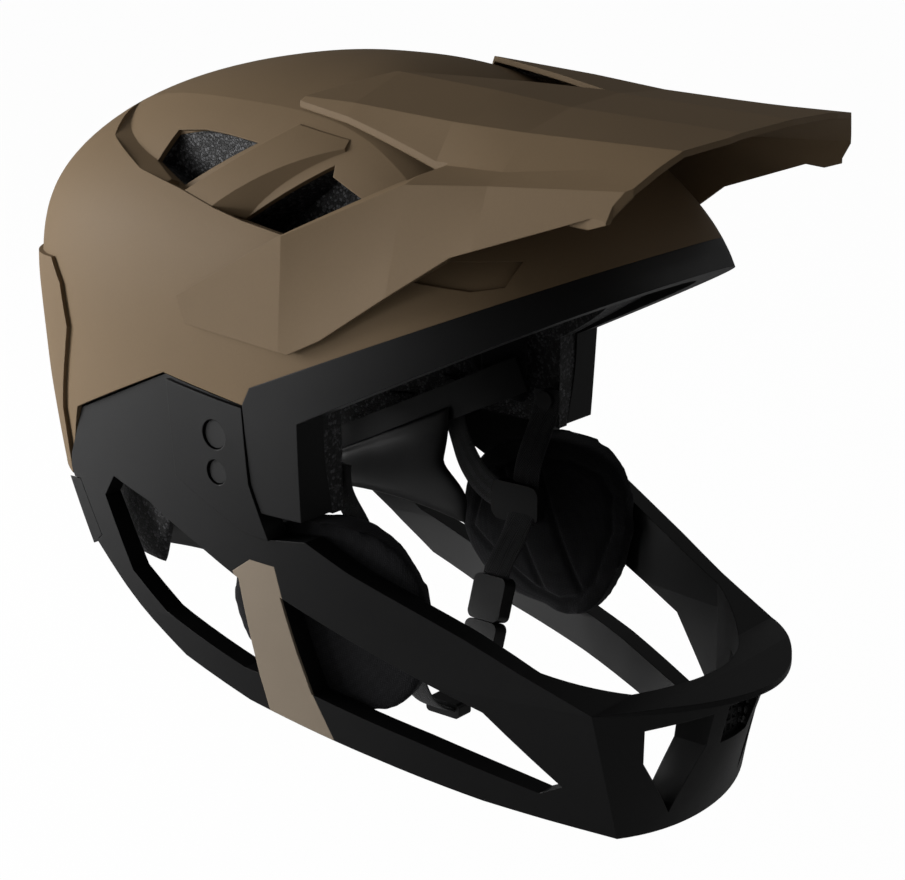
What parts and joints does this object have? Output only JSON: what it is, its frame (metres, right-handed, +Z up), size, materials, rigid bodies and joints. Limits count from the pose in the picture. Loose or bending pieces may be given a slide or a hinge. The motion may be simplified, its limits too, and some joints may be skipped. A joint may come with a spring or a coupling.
{
  "type": "full-face mountain bike helmet",
  "caption": "Full-face bike helmet with tilting forked visor, removable windowed chin bar, cheek pads, dial-fit neck band and chin strap with side-release buckle",
  "frame": {"origin": "middle of the wearer's head at ear level", "axes": "-Y is where the wearer looks, +Z is up, the helmet is symmetric about X = 0 apart from the buckle"},
  "size_m": [0.2222, 0.3784, 0.3044],
  "materials": {
    "shell_tan": "matte tan paint over a moulded polycarbonate shell",
    "visor_tan": "matte tan moulded plastic",
    "stripe_tan": "satin tan inlay",
    "shell_black": "matte black moulded plastic",
    "bar_black": "satin black moulded plastic",
    "foam": "beaded black foam",
    "black_plastic": "fine textured black plastic",
    "band_plastic": "smooth flexible black plastic",
    "button_plastic": "satin dark grey plastic",
    "buckle_plastic": "satin black acetal",
    "pinion_plastic": "smooth grey acetal",
    "mesh": "black coated punched sheet",
    "knob_rubber": "matte black rubber",
    "pad_fabric": "brushed black knit over soft foam",
    "webbing": "woven black webbing"
  },
  "bodies": {
    "helmet": {"outer_shell": "shell_tan", "lower_shell": "shell_black", "foam_liner": "foam", "brow_pad": "pad_fabric", "crown_pad": "pad_fabric", "nape_pad": "pad_fabric", "side_pad_left": "pad_fabric", "side_pad_right": "pad_fabric", "dial_hanger": "black_plastic", "dial_housing": "black_plastic", "strap_anchors": "black_plastic", "front_strap_left": "webbing", "front_strap_right": "webbing", "rear_strap_left": "webbing", "rear_strap_right": "webbing", "strap_dividers": "black_plastic", "chin_strap_left": "webbing", "chin_strap_right": "webbing", "buckle_body": "buckle_plastic", "buckle_tongue": "buckle_plastic", "strap_keeper": "knob_rubber"},
    "visor": {"visor": "visor_tan", "visor_pivots": "black_plastic"},
    "chin_bar": {"chin_bar": "bar_black", "accent_stripes": "stripe_tan", "cover_discs": "black_plastic", "chin_mesh": "mesh", "cheek_pad_left": "pad_fabric", "cheek_pad_right": "pad_fabric"},
    "latch_left": {"latch_button_left": "button_plastic"},
    "latch_right": {"latch_button_right": "button_plastic"},
    "dial": {"dial_knob": "knob_rubber", "dial_pinion": "pinion_plastic"},
    "band_left": {"band_left": "band_plastic"},
    "band_right": {"band_right": "band_plastic"},
    "buckle_release": {"buckle_button": "button_plastic"}
  },
  "joints": [
    {"name": "visor_tilt", "type": "hinge", "parent": "helmet", "child": "visor", "pos_m": [0, 0, 0.057], "axis": [-1, 0, 0], "range_deg": [0, 12]},
    {"name": "chin_bar_slide", "type": "slide", "parent": "helmet", "child": "chin_bar", "axis": [0, 0, -1], "range_m": [0, 0.1]},
    {"name": "latch_left_press", "type": "slide", "parent": "chin_bar", "child": "latch_left", "axis": [-1, 0, 0], "range_m": [0, 0.002], "stiffness_N_per_m": 600, "springref_m": -0.001},
    {"name": "latch_right_press", "type": "slide", "parent": "chin_bar", "child": "latch_right", "axis": [1, 0, 0], "range_m": [0, 0.002], "stiffness_N_per_m": 600, "springref_m": -0.001},
    {"name": "dial_turn", "type": "hinge", "parent": "helmet", "child": "dial", "pos_m": [0, 0.116, -0.072], "axis": [0, -0.8988, 0.4384], "range_deg": [0, 100]},
    {"name": "band_left_draw", "type": "slide", "parent": "helmet", "child": "band_left", "axis": [-1, 0, 0], "range_m": [0, 0.008]},
    {"name": "band_right_draw", "type": "slide", "parent": "helmet", "child": "band_right", "axis": [1, 0, 0], "range_m": [0, 0.008]},
    {"name": "buckle_press", "type": "slide", "parent": "helmet", "child": "buckle_release", "axis": [-0.9461, 0, 0.3239], "range_m": [0, 0.001], "stiffness_N_per_m": 900, "springref_m": -0.001}
  ],
  "couplings": [
    {"joint": "band_left_draw", "follows": "dial_turn", "m_per_rad": 0.0045},
    {"joint": "band_right_draw", "follows": "dial_turn", "m_per_rad": 0.0045}
  ]
}
